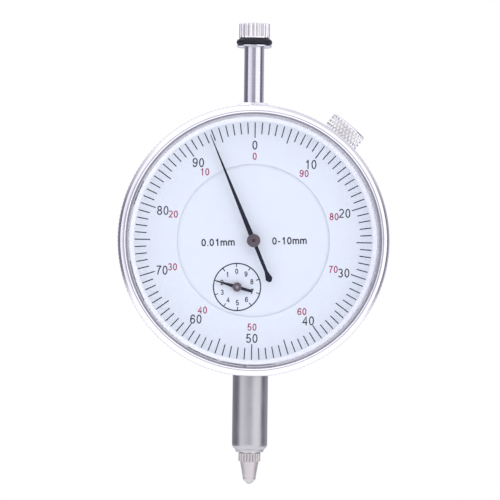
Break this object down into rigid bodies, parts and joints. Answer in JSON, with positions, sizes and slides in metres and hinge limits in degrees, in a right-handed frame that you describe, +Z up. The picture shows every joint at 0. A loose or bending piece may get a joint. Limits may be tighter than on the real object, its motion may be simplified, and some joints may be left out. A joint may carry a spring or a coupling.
{
  "type": "dial indicator",
  "caption": "Plunger dial indicator with a round graduated dial, turning knurled bezel with a side lock, raised spindle with capped top, straight clamping stem and lug back.",
  "frame": {"origin": "on the spindle's axis, at the middle of the straight part of the clamping stem", "axes": "+Z up along the spindle, towards the cap; the dial faces -Y; +X to the right as seen from the front"},
  "size_m": [0.0604, 0.0387, 0.1043],
  "materials": {
    "case_metal": "satin chrome over a die-cast case",
    "cover_metal": "satin, with a circular brushed grain",
    "stem_steel": "hardened, ground and polished",
    "spindle_steel": "stainless steel, ground and polished",
    "knurled_steel": "turned and knurled, satin chrome",
    "washer_steel": "turned, bright",
    "ball_steel": "hardened and polished ball",
    "black_rubber": "black, slightly dull",
    "bezel_chrome": "satin chrome, bright rounded face",
    "ring_steel": "spring steel, bright",
    "clear_crystal": "clear and polished",
    "dial_white": "very pale blue-white, matt",
    "pointer_black": "blue-black, satin",
    "hub_metal": "dark nickel, turned",
    "plate_brass": "rolled brass, brushed",
    "wheel_brass": "turned brass, bright",
    "arbor_steel": "turned steel",
    "screw_steel": "turned steel with slotted heads",
    "spring_steel": "drawn wire",
    "hairspring_bronze": "phosphor bronze strip"
  },
  "bodies": {
    "case": {"case_body": "case_metal", "stem": "stem_steel", "lower_bushing": "stem_steel", "upper_bushing": "stem_steel", "back_cover": "cover_metal", "mounting_lug": "cover_metal", "back_cover_screws": "screw_steel", "bezel_retaining_ring": "ring_steel", "front_plate": "plate_brass", "rear_plate": "plate_brass", "movement_pillars": "arbor_steel", "pillar_screws": "screw_steel", "plate_screws": "screw_steel", "pinion_cock": "plate_brass", "cock_screw": "screw_steel", "arbor_bushings": "wheel_brass", "hairspring_stud": "arbor_steel", "hairspring": "hairspring_bronze", "guide_block": "arbor_steel", "guide_block_screws": "screw_steel", "spring_post": "arbor_steel", "return_spring": "spring_steel", "dial_centre": "dial_white"},
    "spindle": {"spindle": "spindle_steel", "contact_point": "knurled_steel", "contact_ball": "ball_steel", "spindle_cap": "knurled_steel", "cap_o_ring": "black_rubber", "cap_washer": "washer_steel", "guide_pin": "arbor_steel"},
    "first_arbor": {"rack_pinion": "arbor_steel", "first_wheel": "wheel_brass"},
    "centre_arbor": {"centre_pinion": "arbor_steel", "main_pointer": "pointer_black", "main_pointer_hub": "hub_metal"},
    "counter_arbor": {"counter_arbor": "arbor_steel", "counter_wheel": "wheel_brass", "hairspring_collet": "wheel_brass", "counter_pointer": "pointer_black", "counter_pointer_hub": "hub_metal"},
    "bezel": {"bezel": "bezel_chrome", "crystal": "clear_crystal", "crystal_snap_ring": "ring_steel", "dial_ring": "dial_white", "dial_spacer_ring": "bezel_chrome"},
    "lock_shoe": {"lock_shoe": "wheel_brass"},
    "lock_knob": {"lock_knob": "knurled_steel"}
  },
  "joints": [
    {"name": "spindle_slide", "type": "slide", "parent": "case", "child": "spindle", "axis": [0, 0, 1], "range_m": [-0.0122, 0], "stiffness_N_per_m": 40, "springref_m": -0.0325, "deforming": ["return_spring"]},
    {"name": "first_arbor_turn", "type": "hinge", "parent": "case", "child": "first_arbor", "pos_m": [-0.0035, 0, 0.04737], "axis": [0, 1, 0], "range_deg": [-1, 440]},
    {"name": "main_pointer_turn", "type": "hinge", "parent": "case", "child": "centre_arbor", "pos_m": [0, 0, 0.037], "axis": [0, 1, 0], "range_deg": [-4400, 10]},
    {"name": "small_pointer_turn", "type": "hinge", "parent": "case", "child": "counter_arbor", "pos_m": [-0.0035, 0, 0.02663], "axis": [0, 1, 0], "range_deg": [-1, 440], "deforming": ["hairspring"]},
    {"name": "bezel_turn", "type": "hinge", "parent": "case", "child": "bezel", "pos_m": [0, 0, 0.037], "axis": [0, 1, 0], "continuous": true},
    {"name": "lock_slide", "type": "slide", "parent": "case", "child": "lock_shoe", "axis": [0.6361, 0, 0.7716], "range_m": [-0.0002, 0.00075]},
    {"name": "lock_turn", "type": "hinge", "parent": "lock_shoe", "child": "lock_knob", "pos_m": [0.01845, -0.0056, 0.05938], "axis": [0.6361, 0, 0.7716], "range_deg": [-145, 541]}
  ],
  "couplings": [
    {"joint": "first_arbor_turn", "follows": "spindle_slide", "rad_per_m": -628.32},
    {"joint": "main_pointer_turn", "follows": "spindle_slide", "rad_per_m": 6283.2},
    {"joint": "small_pointer_turn", "follows": "spindle_slide", "rad_per_m": -628.32},
    {"joint": "lock_turn", "follows": "lock_slide", "rad_per_m": 12566}
  ]
}
